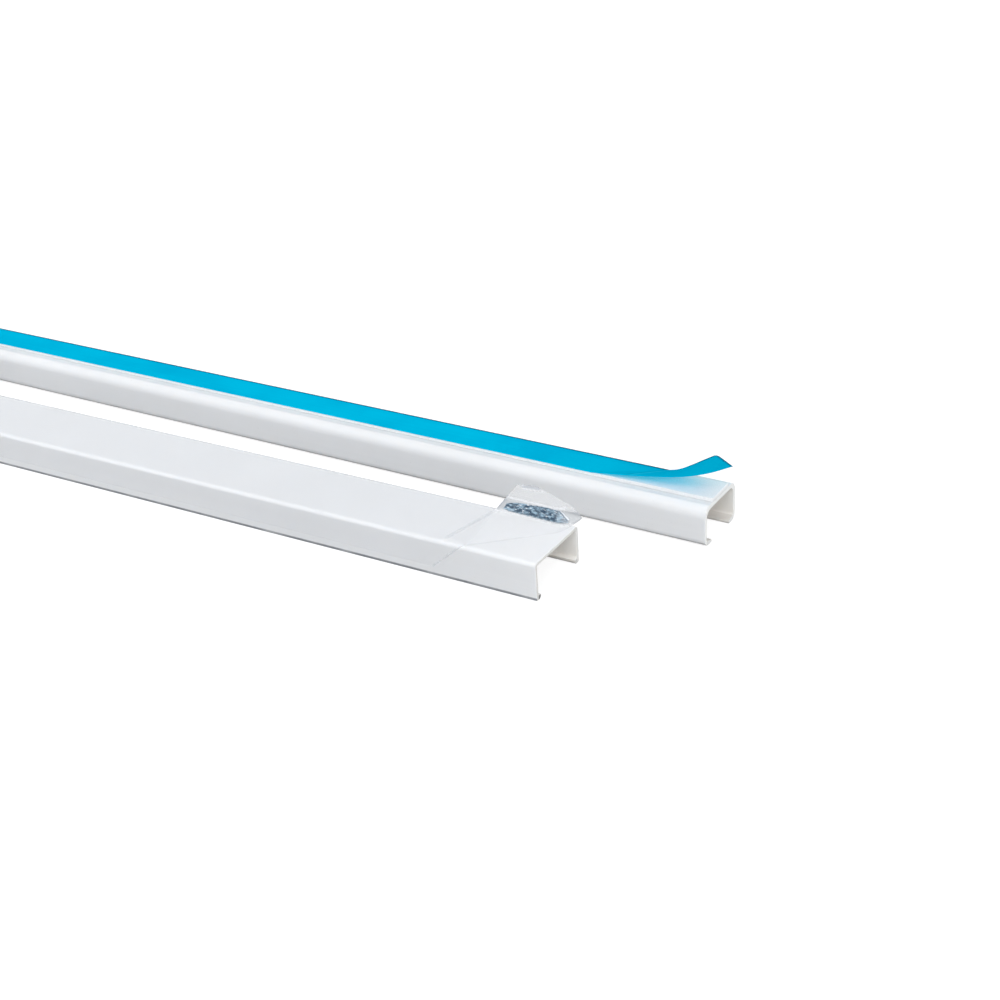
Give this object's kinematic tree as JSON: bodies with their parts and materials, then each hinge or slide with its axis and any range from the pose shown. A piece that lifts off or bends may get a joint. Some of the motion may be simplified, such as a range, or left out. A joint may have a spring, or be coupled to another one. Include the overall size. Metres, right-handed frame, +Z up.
{
  "type": "cord cover raceway",
  "caption": "Two-part cord cover raceway stock: a lipped base channel with peel-off adhesive backing and its clip-on cover with protective film, laid side by side.",
  "frame": {"origin": "middle of the set's footprint, on the floor", "axes": "+X along the stock towards its opened end, +Y from the cover to the base, +Z up"},
  "size_m": [1.572, 0.1182, 0.035],
  "materials": {
    "base_plastic": "satin white rigid plastic",
    "tape_foam": "white foam with tacky adhesive",
    "liner_blue": "smooth blue release film",
    "cover_plastic": "satin white rigid plastic",
    "film_clear": "clear protective film"
  },
  "bodies": {
    "root": {"base_channel": "base_plastic", "adhesive_tape": "tape_foam", "release_liner": "liner_blue", "cover_channel": "cover_plastic", "protective_film": "film_clear"}
  },
  "joints": []
}
